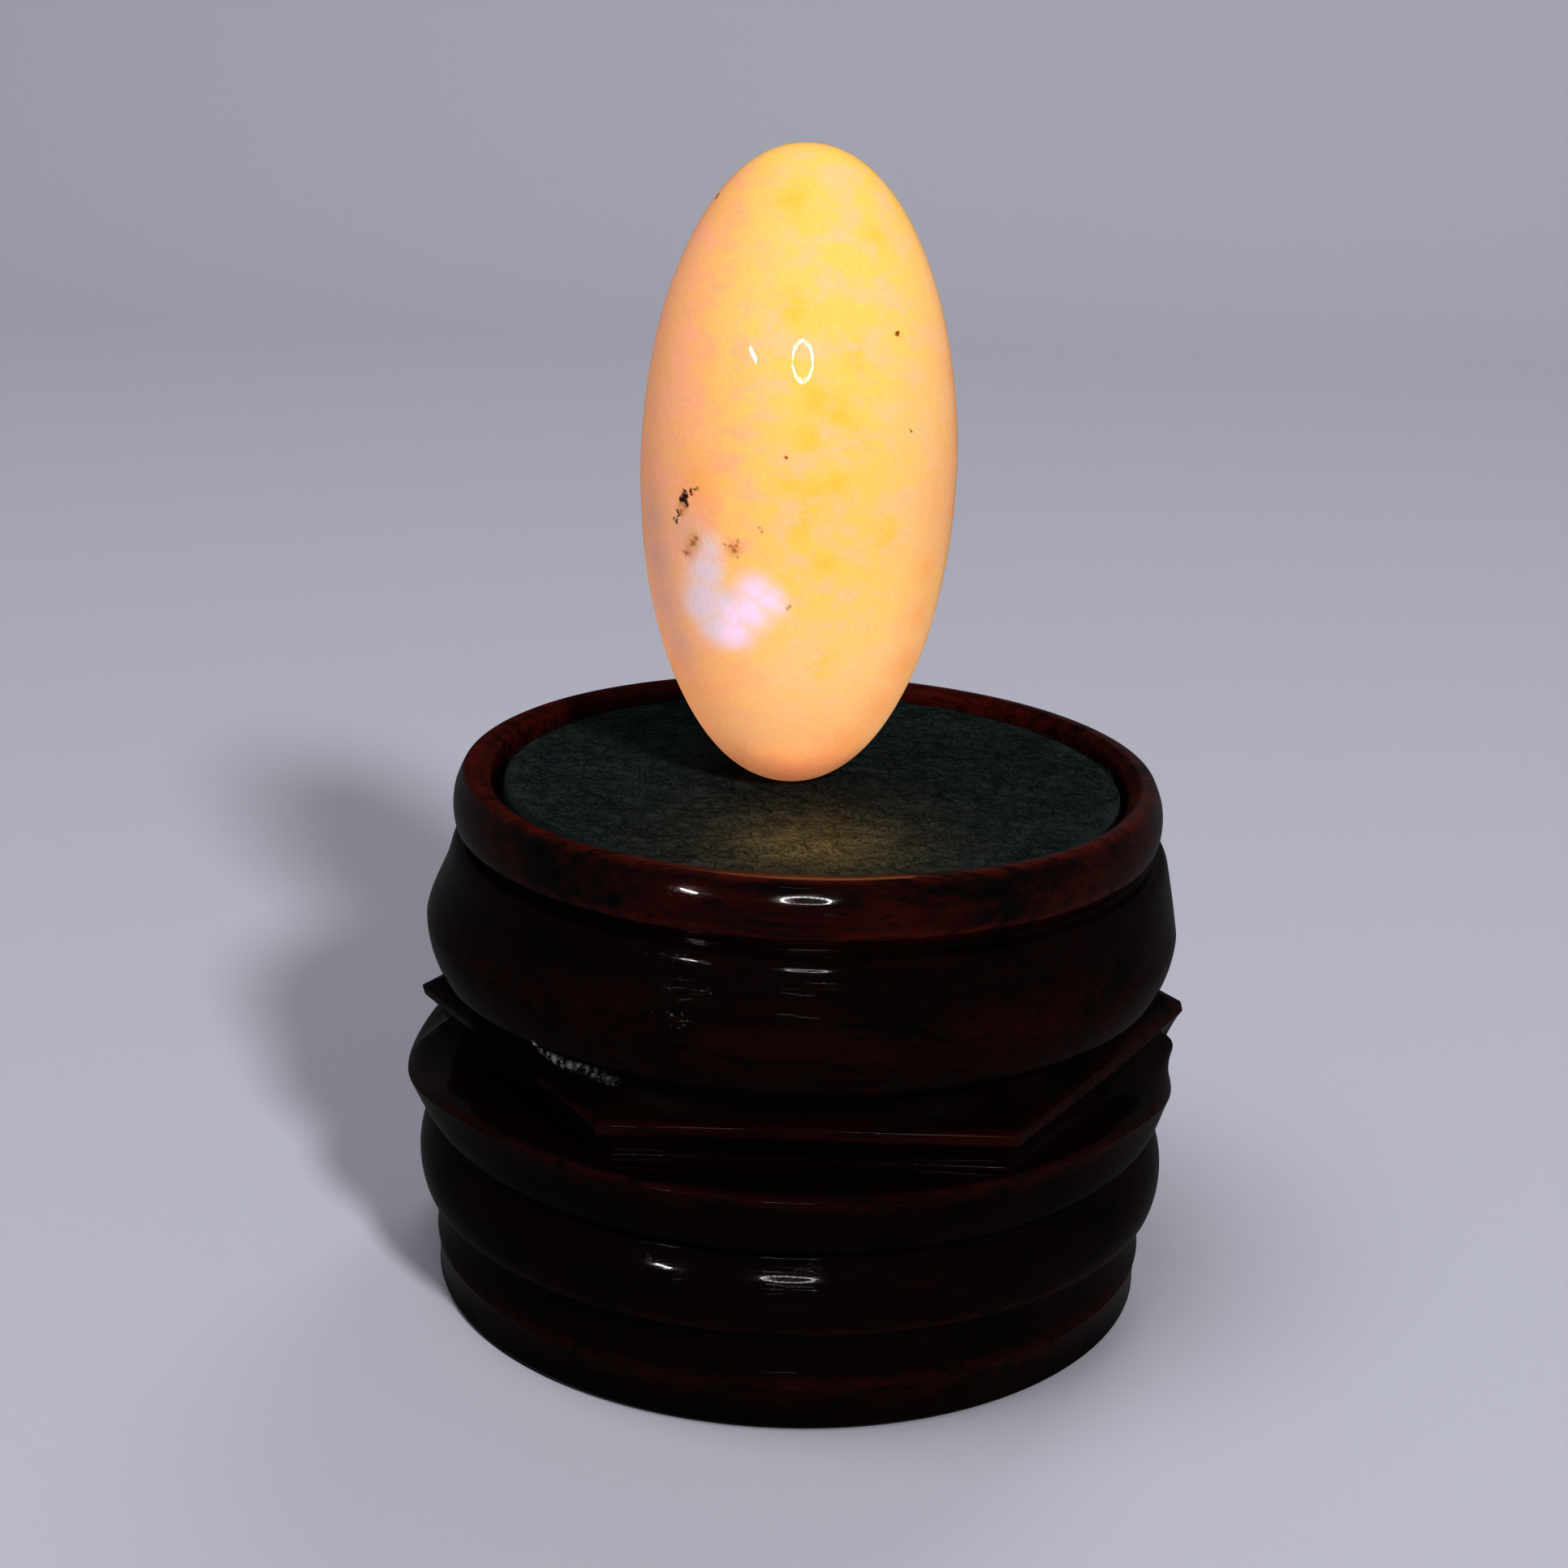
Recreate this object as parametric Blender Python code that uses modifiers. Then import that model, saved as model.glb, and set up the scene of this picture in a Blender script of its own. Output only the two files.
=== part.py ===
"""A polished tugtupite standing on its end on a small turned rosewood stand.

Three loose pieces, resting on one another: the stand, the felt pad in its top and the stone.
Units are metres, +Z is up, and the origin is the centre of the stand's foot. The front of the
stand faces -Y.
"""
import math

import bmesh
import bpy
from mathutils import Vector

MM = 0.001

# Gaps and fineness
REST_GAP = 0.3 * MM
MERGE_DISTANCE = 0.00001
TURNED_STEPS = 60
SHARP_ANGLE = math.radians(38.0)

# Stand: heights of its turned members, from the foot up
FOOT_CHAMFER = 0.25 * MM
PLINTH_RIDGE_Z = 2.2 * MM
LOWER_BEAD_Z = (4.6 * MM, 8.6 * MM)
LOWER_BEAD_EDGE_Z = 5.15 * MM
LOWER_BEAD_BELLY_Z = 6.4 * MM
LIP_Z = 10.25 * MM
WAIST_Z = 12.15 * MM
COLLAR_EDGE_Z = (13.45 * MM, 13.95 * MM)
NECK_Z = 15.5 * MM
UPPER_BEAD_Z = (16.2 * MM, 22.3 * MM)
UPPER_BEAD_BELLY_Z = 18.9 * MM
SHOULDER_BREAK_Z = 21.9 * MM
GROOVE_Z = 22.45 * MM
RING_Z = (23.0 * MM, 25.55 * MM)
RING_BELLY_Z = 24.55 * MM

# Stand: radii of the same members
FOOT_R = 17.2 * MM
PLINTH_RIDGE_R = 17.35 * MM
UNDERCUT_R = 16.9 * MM
LOWER_BEAD_EDGE_R = 17.93 * MM
LOWER_BEAD_R = 18.15 * MM
CREASE_R = 17.3 * MM
LIP_R = 18.75 * MM
WAIST_R = 17.2 * MM
COLLAR_R = 18.3 * MM
NECK_R = 15.7 * MM
UPPER_BEAD_FOOT_R = 17.3 * MM
UPPER_BEAD_R = 17.9 * MM
SHOULDER_BREAK_R = 17.05 * MM
SHOULDER_R = 16.45 * MM
GROOVE_R = 16.3 * MM
RING_FOOT_R = 16.65 * MM
RING_R = 16.7 * MM

# Stand: how far each arc of its outline stands out of its chord, or in where it is negative
RIM_BULGE = 0.14 * MM
RING_TOP_BULGE = 0.16 * MM
RING_SIDE_BULGE = 0.1 * MM
GROOVE_HOLLOW = -0.08 * MM
SHOULDER_BULGE = 0.08 * MM
UPPER_BEAD_FACE_BULGE = 0.12 * MM
UPPER_BEAD_FOOT_BULGE = 0.16 * MM
NECK_HOLLOW = -0.1 * MM
COLLAR_HOLLOW = -0.2 * MM
WAIST_HOLLOW = -0.1 * MM
LIP_TOP_BULGE = 0.16 * MM
LIP_UNDER_BULGE = 0.14 * MM
LOWER_BEAD_BULGE = 0.22 * MM
BEAD_EDGE_BULGE = 0.06 * MM
UNDERCUT_HOLLOW = -0.05 * MM
PLINTH_HOLLOW = -0.1 * MM

# Stand: small flats that break its sharp edges, across and down
COLLAR_EDGE_IN = 0.08 * MM
RIDGE_BREAK = (0.1 * MM, 0.25 * MM)

# Stand: the recess that holds the pad
RECESS_R = 15.25 * MM
RECESS_FLOOR_Z = 23.5 * MM
RIM_INNER_Z = 25.1 * MM
RIM_TOP_R = (15.85 * MM, 16.05 * MM)

# Stand: the carving round its middle, and how far it leans to its right above the lip
CARVED_SIDES = 6
CARVED_TURN = math.radians(2.0)
LIP_RISE = 1.4 * MM
LIP_CUT = 0.4 * MM
LIP_CORNER_POWER = 12
LIP_CUT_RIGHT = 0.25 * MM
WAIST_FILL_RIGHT = 1.05 * MM
WAIST_CUT_LEFT = 0.3 * MM
SHOULDER_CUT_LEFT = 0.4 * MM
SHOULDER_CUT_Z = 21.2 * MM
LEAN = 0.022

# Pad
PAD_R = 14.6 * MM
PAD_TOP_Z = 25.05 * MM
PAD_EDGE_ROUND = 0.4 * MM
PAD_EDGE_BULGE = 0.1 * MM
PAD_X = 0.1 * MM

# Stone: half its width, depth and height, and where its tip rests
STONE_HALF = Vector((7.26 * MM, 6.7 * MM, 14.76 * MM))
STONE_X = -0.67 * MM
STONE_TIP_Z = 24.85 * MM
STONE_FULLNESS = 0.962
STONE_SEGMENTS = 40
STONE_RINGS = 26

# Colours, linear
ROSEWOOD = (0.045, 0.010, 0.006)
FELT = (0.011, 0.018, 0.020)
TUGTUPITE = (0.90, 0.42, 0.20)


def clear_scene():
    for old in list(bpy.data.objects):
        bpy.data.objects.remove(old, do_unlink=True)


def new_collection(name):
    collection = bpy.data.collections.new(name)
    bpy.context.scene.collection.children.link(collection)
    return collection


def principled(name, colour, roughness):
    material = bpy.data.materials.new(name)
    material.use_nodes = True
    shader = material.node_tree.nodes["Principled BSDF"]
    shader.inputs["Base Color"].default_value = (*colour, 1.0)
    shader.inputs["Roughness"].default_value = roughness
    shader.inputs["Metallic"].default_value = 0.0
    return material


def bow(start, end, bulge, steps):
    """Points after start and up to end, on an arc that stands bulge out of the chord.

    A profile runs down its outer side, so a positive bulge is away from the axis.
    """
    start, end = Vector(start), Vector(end)
    chord = end - start
    half = chord.length / 2
    radius = (half * half + bulge * bulge) / (2 * abs(bulge))
    outward = Vector((-chord.y, chord.x)).normalized() * math.copysign(1.0, bulge)
    centre = (start + end) / 2 + outward * (abs(bulge) - radius)
    sweep = 2 * math.atan2(half, radius - abs(bulge)) * math.copysign(1.0, bulge)
    spoke = start - centre
    points = []
    for step in range(1, steps + 1):
        turn = -sweep * step / steps
        points.append(centre + Vector((
            spoke.x * math.cos(turn) - spoke.y * math.sin(turn),
            spoke.x * math.sin(turn) + spoke.y * math.cos(turn))))
    points[-1] = end
    return [tuple(point) for point in points]


def turned(name, profile, collection):
    """A solid of revolution about Z from a profile of (radius, height), made by Screw."""
    mesh = bpy.data.meshes.new(name)
    corners = [(radius, 0.0, height) for radius, height in profile]
    edges = [(i, i + 1) for i in range(len(corners) - 1)]
    mesh.from_pydata(corners, edges, [])
    blank = bpy.data.objects.new(name, mesh)
    collection.objects.link(blank)
    screw = blank.modifiers.new("turn", "SCREW")
    screw.axis = "Z"
    screw.angle = math.tau
    screw.steps = TURNED_STEPS
    screw.render_steps = TURNED_STEPS
    screw.use_merge_vertices = True
    screw.merge_threshold = MERGE_DISTANCE
    return blank


def evaluate(blank):
    """Replaces the object's mesh by the mesh that its modifiers make, with the poles closed."""
    bpy.context.view_layer.update()
    graph = bpy.context.evaluated_depsgraph_get()
    mesh = bpy.data.meshes.new_from_object(blank.evaluated_get(graph))
    blank.modifiers.clear()
    blank.data = mesh
    shape = bmesh.new()
    shape.from_mesh(mesh)
    bmesh.ops.remove_doubles(shape, verts=shape.verts, dist=MERGE_DISTANCE)
    bmesh.ops.dissolve_degenerate(shape, edges=shape.edges, dist=MERGE_DISTANCE)
    bmesh.ops.recalc_face_normals(shape, faces=shape.faces)
    shape.to_mesh(mesh)
    shape.free()
    return mesh


def finish(part, material):
    part.data.materials.clear()
    part.data.materials.append(material)
    part.data.shade_smooth()
    part.data.set_sharp_from_angle(angle=SHARP_ANGLE)


def recess_and_ring():
    """Pad recess, rounded rim and the plain ring round the top."""
    rim_inner = (RECESS_R, RIM_INNER_Z)
    rim_tops = [(radius, RING_Z[1]) for radius in RIM_TOP_R]
    profile = [(0.0, RECESS_FLOOR_Z), (RECESS_R, RECESS_FLOOR_Z), rim_inner]
    profile += bow(rim_inner, rim_tops[0], RIM_BULGE, 3) + [rim_tops[1]]
    profile += bow(rim_tops[1], (RING_R, RING_BELLY_Z), RING_TOP_BULGE, 4)
    profile += bow((RING_R, RING_BELLY_Z), (RING_FOOT_R, RING_Z[0]), RING_SIDE_BULGE, 3)
    return profile


def upper_bead(start):
    """A narrow groove, then the tall bead under the ring: a tight shoulder over a fuller face."""
    shoulder = (SHOULDER_R, UPPER_BEAD_Z[1])
    shoulder_break = (SHOULDER_BREAK_R, SHOULDER_BREAK_Z)
    belly = (UPPER_BEAD_R, UPPER_BEAD_BELLY_Z)
    foot = (UPPER_BEAD_FOOT_R, UPPER_BEAD_Z[0])
    profile = bow(start, (GROOVE_R, GROOVE_Z), GROOVE_HOLLOW, 2) + [shoulder]
    profile += bow(shoulder, shoulder_break, SHOULDER_BULGE, 2)
    profile += bow(shoulder_break, belly, UPPER_BEAD_FACE_BULGE, 4)
    profile += bow(belly, foot, UPPER_BEAD_FOOT_BULGE, 3)
    return profile


def collar(start):
    """The thin flaring collar: hollow on top, sharp at its edge, undercut to the waist."""
    neck = (NECK_R, NECK_Z)
    top_edge = (COLLAR_R, COLLAR_EDGE_Z[1])
    low_edge = (COLLAR_R - COLLAR_EDGE_IN, COLLAR_EDGE_Z[0])
    waist = (WAIST_R, WAIST_Z)
    profile = bow(start, neck, NECK_HOLLOW, 2)
    profile += bow(neck, top_edge, COLLAR_HOLLOW, 4)
    profile += [low_edge]
    profile += bow(low_edge, waist, WAIST_HOLLOW, 2)
    return profile


def lip(start):
    """The lower half of the middle: it flares from the waist to a rounded lip, then turns in."""
    widest = (LIP_R, LIP_Z)
    crease = (CREASE_R, LOWER_BEAD_Z[1])
    profile = bow(start, widest, LIP_TOP_BULGE, 4)
    profile += bow(widest, crease, LIP_UNDER_BULGE, 4)
    return profile


def lower_bead(start):
    """The bead above the plinth, with a firm lower edge and an undercut below it."""
    widest = (LOWER_BEAD_R, LOWER_BEAD_BELLY_Z)
    low_edge = (LOWER_BEAD_EDGE_R, LOWER_BEAD_EDGE_Z)
    profile = bow(start, widest, LOWER_BEAD_BULGE, 4)
    profile += bow(widest, low_edge, BEAD_EDGE_BULGE, 2)
    profile += bow(low_edge, (UNDERCUT_R, LOWER_BEAD_Z[0]), UNDERCUT_HOLLOW, 2)
    return profile


def plinth(start):
    """A shallow hollow, a ridge all round and the straight foot."""
    ridge = (PLINTH_RIDGE_R, PLINTH_RIDGE_Z)
    profile = bow(start, ridge, PLINTH_HOLLOW, 3)
    profile += [(PLINTH_RIDGE_R - RIDGE_BREAK[0], PLINTH_RIDGE_Z - RIDGE_BREAK[1])]
    profile += [(FOOT_R, FOOT_CHAMFER), (FOOT_R - FOOT_CHAMFER, 0.0), (0.0, 0.0)]
    return profile


def ramp(low, high, value):
    """0 at low, 1 at high, eased in and out between them and flat outside."""
    share = min(1.0, max(0.0, (value - low) / (high - low)))
    return share * share * (3.0 - 2.0 * share)


def lean(height):
    """How far the stand's axis has moved towards +X at a height. It is upright up to the lip."""
    return LEAN * max(0.0, height - LIP_Z)


def carve(mesh):
    """Cuts the turned middle to six sides, lifts its lip between the corners and leans it.

    The collar has a full six-sided outline with corners at the stand's left and right. The
    outline fades to round at the neck above and on the way to the lip below. The lip dips at
    the left and right corners. The waist was cut deeper on the left than on the right, and the
    lip was cut back a little on the right. The upper bead's shoulder falls away more on the left.
    """
    half_side = math.pi / CARVED_SIDES
    for corner in mesh.vertices:
        x, y, z = corner.co
        radius = math.hypot(x, y)
        angle = math.atan2(y, x)
        from_flat = (angle % (2 * half_side)) - half_side
        six_sided = math.cos(half_side) / math.cos(from_flat)
        share = min(ramp(NECK_Z, COLLAR_EDGE_Z[1], z), ramp(LIP_Z, WAIST_Z, z))
        on_lip = min(ramp(WAIST_Z, LIP_Z, z), ramp(LOWER_BEAD_Z[1], LIP_Z, z))
        on_waist = min(ramp(LIP_Z, WAIST_Z, z), ramp(NECK_Z, WAIST_Z, z))
        on_shoulder = min(ramp(UPPER_BEAD_BELLY_Z, SHOULDER_CUT_Z, z), ramp(RING_Z[0], UPPER_BEAD_Z[1], z))
        between = on_lip * (1.0 - abs(math.cos(angle)) ** LIP_CORNER_POWER)
        to_right, to_left = max(0.0, math.cos(angle)), max(0.0, -math.cos(angle))
        wide = radius * (1.0 - share * (1.0 - six_sided)) - LIP_CUT * between
        wide += on_waist * (WAIST_FILL_RIGHT * to_right - WAIST_CUT_LEFT * to_left)
        wide -= on_lip * LIP_CUT_RIGHT * to_right + on_shoulder * SHOULDER_CUT_LEFT * to_left
        turned_angle = angle + CARVED_TURN
        corner.co = (wide * math.cos(turned_angle) + lean(z), wide * math.sin(turned_angle),
                     z + LIP_RISE * between)


def make_stand(collection):
    profile = recess_and_ring()
    for member in (upper_bead, collar, lip, lower_bead, plinth):
        profile += member(profile[-1])
    stand = turned("stand", profile, collection)
    carve(evaluate(stand))
    finish(stand, principled("rosewood", ROSEWOOD, 0.22))
    return stand


def ellipsoid(name, half, tip, collection):
    """A slightly full ellipsoid that stands on its tip, from a UV sphere."""
    bpy.ops.mesh.primitive_uv_sphere_add(
        segments=STONE_SEGMENTS, ring_count=STONE_RINGS, radius=1.0, location=(0, 0, 0))
    body = bpy.context.object
    body.name = name
    for corner in body.data.vertices:
        x, y, z = corner.co
        around = math.hypot(x, y)
        fuller = around ** (STONE_FULLNESS - 1.0) if around > 0.0 else 1.0
        corner.co = (x * fuller * half.x, y * fuller * half.y, (z + 1.0) * half.z)
        corner.co += tip
    for owner in list(body.users_collection):
        owner.objects.unlink(body)
    collection.objects.link(body)
    return body


def make_stone(collection):
    tip = Vector((STONE_X, 0.0, STONE_TIP_Z))
    stone = ellipsoid("stone", STONE_HALF, tip, collection)
    finish(stone, principled("tugtupite", TUGTUPITE, 0.12))
    return stone


def make_pad(collection, cutters):
    """The felt disc, with the shallow dint that the stone's tip has pressed into it."""
    bottom = RECESS_FLOOR_Z + REST_GAP
    profile = [(0.0, PAD_TOP_Z), (PAD_R - PAD_EDGE_ROUND, PAD_TOP_Z)]
    profile += bow(profile[-1], (PAD_R, PAD_TOP_Z - PAD_EDGE_ROUND), PAD_EDGE_BULGE, 3)
    profile += [(PAD_R, bottom), (0.0, bottom)]
    pad = turned("pad", profile, collection)
    for corner in evaluate(pad).vertices:
        corner.co.x += lean(PAD_TOP_Z) + PAD_X
    gap = Vector((REST_GAP, REST_GAP, REST_GAP))
    seat = ellipsoid("stone_seat", STONE_HALF + gap,
                     Vector((STONE_X, 0.0, STONE_TIP_Z - REST_GAP)), cutters)
    seat.hide_render = True
    seat.display_type = "WIRE"
    dint = pad.modifiers.new("dint", "BOOLEAN")
    dint.operation = "DIFFERENCE"
    dint.solver = "EXACT"
    dint.object = seat
    finish(pad, principled("felt", FELT, 0.95))
    return pad


def main():
    clear_scene()
    pieces = new_collection("tugtupite_on_stand")
    cutters = new_collection("cutters")
    make_stand(pieces)
    make_pad(pieces, cutters)
    make_stone(pieces)


main()
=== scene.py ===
# %% [markdown]
# A polished tugtupite on its stand
#
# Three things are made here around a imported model: a polished stone, the dark wooden stand that
# carries it, and the round of felt between the two. The stone is the size of a small date. It
# stands on its tip and glows, because light gets into it and wanders about before it comes out.
# The stand is lacquered so dark that it reads as black until a light catches it.
#
# The model gives the sizes and the places. This script gives the finish, and it prints what it
# makes as it goes.

# %% Load the frame
import math
import random

import bmesh
import bpy
from mathutils import Matrix, Vector, noise
from mathutils.interpolate import poly_3d_calc


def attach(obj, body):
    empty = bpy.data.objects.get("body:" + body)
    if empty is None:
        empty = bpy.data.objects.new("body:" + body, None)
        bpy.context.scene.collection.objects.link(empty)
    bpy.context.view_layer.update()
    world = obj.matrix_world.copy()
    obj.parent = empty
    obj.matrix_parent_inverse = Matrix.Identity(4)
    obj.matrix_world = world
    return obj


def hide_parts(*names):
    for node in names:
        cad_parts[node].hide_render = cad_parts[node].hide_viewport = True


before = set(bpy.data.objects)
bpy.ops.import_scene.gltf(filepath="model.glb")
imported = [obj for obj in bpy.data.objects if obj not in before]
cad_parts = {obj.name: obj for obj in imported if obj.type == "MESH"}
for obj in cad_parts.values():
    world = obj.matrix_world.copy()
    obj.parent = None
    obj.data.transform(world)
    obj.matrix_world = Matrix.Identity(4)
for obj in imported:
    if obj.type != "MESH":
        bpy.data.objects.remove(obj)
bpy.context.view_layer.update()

MM = 0.001
print("nodes in the frame:", sorted(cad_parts))

# %% [markdown]
# Set up the camera
#
# The camera comes first, because everything else is judged through it. It looks a little down on
# the stand from close by. Close up, a few millimetres change the view a great deal, so the place
# and the turn are given as the numbers that a fit to the stand's circles gave. The focal length is
# kept in pixels of the square picture, and turned into millimetres for a 36 mm sensor.

# %% Camera
PICTURE_SIDE = 1932
FOCAL_PIXELS = 3405.8
SENSOR_WIDTH = 36.0
CAMERA_PLACE = Vector((-0.11, -125.0, 64.34)) * MM
CAMERA_PITCH = math.radians(17.652)
CAMERA_HEADING = math.radians(-0.347)
CAMERA_ROLL = math.radians(1.865)


def camera_axes():
    """The camera's right, up and forward directions."""
    level = math.cos(CAMERA_PITCH)
    forward = Vector((math.sin(CAMERA_HEADING) * level, math.cos(CAMERA_HEADING) * level,
                      -math.sin(CAMERA_PITCH)))
    right = Vector((math.cos(CAMERA_HEADING), -math.sin(CAMERA_HEADING), 0.0))
    up = right.cross(forward)
    cos, sin = math.cos(CAMERA_ROLL), math.sin(CAMERA_ROLL)
    return cos * right + sin * up, cos * up - sin * right, forward


RIGHT, UP, FORWARD = camera_axes()
bpy.ops.object.select_all(action="DESELECT")
bpy.ops.object.camera_add(location=CAMERA_PLACE)
camera = bpy.context.object
camera.name = "view"
facing = Matrix((RIGHT, UP, -FORWARD)).transposed().to_4x4()
camera.matrix_world = Matrix.Translation(CAMERA_PLACE) @ facing
camera.data.sensor_width = SENSOR_WIDTH
camera.data.lens = FOCAL_PIXELS * SENSOR_WIDTH / PICTURE_SIDE
camera.data.clip_start = 1 * MM
camera.data.clip_end = 20.0
bpy.context.scene.camera = camera
bpy.context.scene.view_settings.view_transform = "Standard"
bpy.context.scene.view_settings.look = "High Contrast"
print("lens %.2f mm" % camera.data.lens)

# %% [markdown]
# A few helpers for shaping by hand
#
# Every new piece starts as a primitive and is shaped in edit mode. An operator acts on all that is
# selected, and the frame leaves its own parts selected, so each step starts by clearing that.
# Turned pieces share one helper: it walks a single point along a profile by extruding it, and then
# spins the line once round the axis, which is what a lathe does the other way about.

# %% Shaping helpers
JOIN_DISTANCE = 0.004 * MM


def select_only(piece):
    bpy.ops.object.select_all(action="DESELECT")
    piece.select_set(True)
    bpy.context.view_layer.objects.active = piece


def turn(name, profile, steps):
    """A closed turned solid from (radius, height) points that run down its outer side."""
    bpy.ops.object.select_all(action="DESELECT")
    bpy.ops.mesh.primitive_plane_add(size=MM, location=(0, 0, 0))
    piece = bpy.context.object
    piece.name = name
    bpy.ops.object.mode_set(mode="EDIT")
    bpy.ops.mesh.select_all(action="SELECT")
    bpy.ops.mesh.merge(type="CENTER")
    bpy.ops.transform.translate(value=(profile[0][0], 0.0, profile[0][1]))
    for (radius, height), (next_radius, next_height) in zip(profile, profile[1:]):
        step = (next_radius - radius, 0.0, next_height - height)
        bpy.ops.mesh.extrude_region_move(TRANSFORM_OT_translate={"value": step})
    bpy.ops.mesh.select_all(action="SELECT")
    bpy.ops.mesh.spin(steps=steps, angle=math.tau, center=(0, 0, 0), axis=(0, 0, 1))
    bpy.ops.mesh.select_all(action="SELECT")
    bpy.ops.mesh.remove_doubles(threshold=JOIN_DISTANCE)
    bpy.ops.mesh.normals_make_consistent(inside=False)
    bpy.ops.object.mode_set(mode="OBJECT")
    piece.data.transform(piece.matrix_world)
    piece.matrix_world = Matrix.Identity(4)
    return piece


def arc(start, end, bulge, steps):
    """The points after start on an arc to end that stands bulge out of the straight line."""
    start, end = Vector(start), Vector(end)
    chord = end - start
    half = chord.length / 2
    radius = (half * half + bulge * bulge) / (2 * abs(bulge))
    side = math.copysign(1.0, bulge)
    outward = Vector((-chord.y, chord.x)).normalized() * side
    centre = (start + end) / 2 + outward * (abs(bulge) - radius)
    sweep = -2 * math.atan2(half, radius - abs(bulge)) * side
    spoke = start - centre
    turns = [Matrix.Rotation(sweep * step / steps, 2) for step in range(1, steps + 1)]
    return [tuple(centre + turned @ spoke) for turned in turns]


def count(piece):
    triangles = sum(len(face.vertices) - 2 for face in piece.data.polygons)
    print("%s: %d triangles" % (piece.name, triangles))


# %% [markdown]
# Writing shader maths as Python
#
# A material is a graph of nodes. Wiring one by hand is slow to read, so a small class wraps a
# node's output and lets it be added, multiplied and so on like a number. Each operator adds the
# Math node that does it. Everything else goes through one method that adds any node.

# %% Shader helpers
class Value:
    """One output of a node, with Python's operators for the maths on it."""

    def __init__(self, paint, socket):
        self.paint = paint
        self.socket = socket

    def __add__(self, other):
        return self.paint.maths("ADD", self, other)

    def __radd__(self, other):
        return self.paint.maths("ADD", other, self)

    def __sub__(self, other):
        return self.paint.maths("SUBTRACT", self, other)

    def __rsub__(self, other):
        return self.paint.maths("SUBTRACT", other, self)

    def __mul__(self, other):
        return self.paint.maths("MULTIPLY", self, other)

    def __rmul__(self, other):
        return self.paint.maths("MULTIPLY", other, self)

    def __truediv__(self, other):
        return self.paint.maths("DIVIDE", self, other)


class Paint:
    """A new material, and the one way in which this script adds nodes to it."""

    def __init__(self, name):
        self.material = bpy.data.materials.new(name)
        self.material.use_nodes = True
        self.tree = self.material.node_tree
        self.tree.nodes.clear()

    def node(self, kind, settings, sockets, out=0):
        """Adds a node: its settings first, then a value or a link for each socket."""
        new = self.tree.nodes.new("ShaderNode" + kind)
        for name, setting in settings.items():
            if name == "stops":
                self.fill_ramp(new.color_ramp, setting)
            else:
                setattr(new, name, setting)
        for name, value in sockets.items():
            if isinstance(value, Value):
                self.tree.links.new(value.socket, new.inputs[name])
            else:
                new.inputs[name].default_value = value
        return None if out is None else Value(self, new.outputs[out])

    def fill_ramp(self, ramp, stops):
        while len(ramp.elements) < len(stops):
            ramp.elements.new(1.0)
        for element, (position, colour) in zip(ramp.elements, stops):
            element.position = position
            element.color = (*colour, 1.0)

    def maths(self, operation, first, second):
        return self.node("Math", {"operation": operation}, {0: first, 1: second})

    def millimetres(self):
        """Object coordinates, counted in millimetres."""
        place = self.node("TexCoord", {}, {}, "Object")
        return self.node("VectorMath", {"operation": "SCALE"}, {0: place, "Scale": 1 / MM})

    def stretch(self, place, scale, turn=(0.0, 0.0, 0.0)):
        return self.node("Mapping", {}, {"Vector": place, "Rotation": turn, "Scale": scale})

    def cloud(self, place, size, detail=3.0, rough=0.5, warp=0.0):
        """Soft noise from 0 to 1 whose lumps are about size millimetres across."""
        return self.node("TexNoise", {}, {"Vector": place, "Scale": 1 / size, "Detail": detail,
                                          "Roughness": rough, "Distortion": warp}, "Fac")

    def fade(self, value, low, high):
        """0 at low, 1 at high, eased in and out between them."""
        return self.node("MapRange", {"interpolation_type": "SMOOTHSTEP"},
                         {"Value": value, "From Min": low, "From Max": high})

    def mix(self, share, first, second, blend="MIX"):
        """A colour that goes from first to second as share goes from 0 to 1."""
        first = first if isinstance(first, Value) else (*first, 1.0)
        second = second if isinstance(second, Value) else (*second, 1.0)
        return self.node("Mix", {"data_type": "RGBA", "blend_type": blend},
                         {0: share, 6: first, 7: second}, 2)

    def part(self, place, letter):
        return self.node("SeparateXYZ", {}, {0: place}, letter)

    def fray(self, place, size, amount):
        """The place pushed about at random by up to half of amount millimetres."""
        push = self.node("TexNoise", {}, {"Vector": place, "Scale": 1 / size, "Detail": 3.0}, "Color")
        centred = self.node("VectorMath", {"operation": "SUBTRACT"}, {0: push, 1: (0.5, 0.5, 0.5)})
        return self.node("VectorMath", {"operation": "MULTIPLY_ADD"},
                         {0: centred, 1: (amount, amount, amount), 2: place})

    def reach(self, place, point):
        """The distance from a point."""
        return self.node("VectorMath", {"operation": "DISTANCE"}, {0: place, 1: point}, "Value")

    def bump(self, height, depth, under=None):
        """Relief from a height of 0 to 1 that stands for depth millimetres."""
        sockets = {"Height": height, "Distance": depth * MM, "Strength": 1.0}
        if under is not None:
            sockets["Normal"] = under
        return self.node("Bump", {}, sockets)

    def finish(self, sockets):
        shader = self.node("BsdfPrincipled", {}, sockets)
        self.node("OutputMaterial", {}, {"Surface": shader}, None)
        return self.material


# %% [markdown]
# The stone's shape
#
# The stone was ground and polished by hand into a long egg. A sphere is the natural start: edit
# mode scales it to its three half sizes and stands it on its tip. A true ellipsoid is a little
# thinner than the stone towards its ends, so each ring is filled out by a small power. The last
# step is what a wheel leaves behind: very shallow flats, far too slight to see in the outline, but
# enough to bend a reflection.

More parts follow.
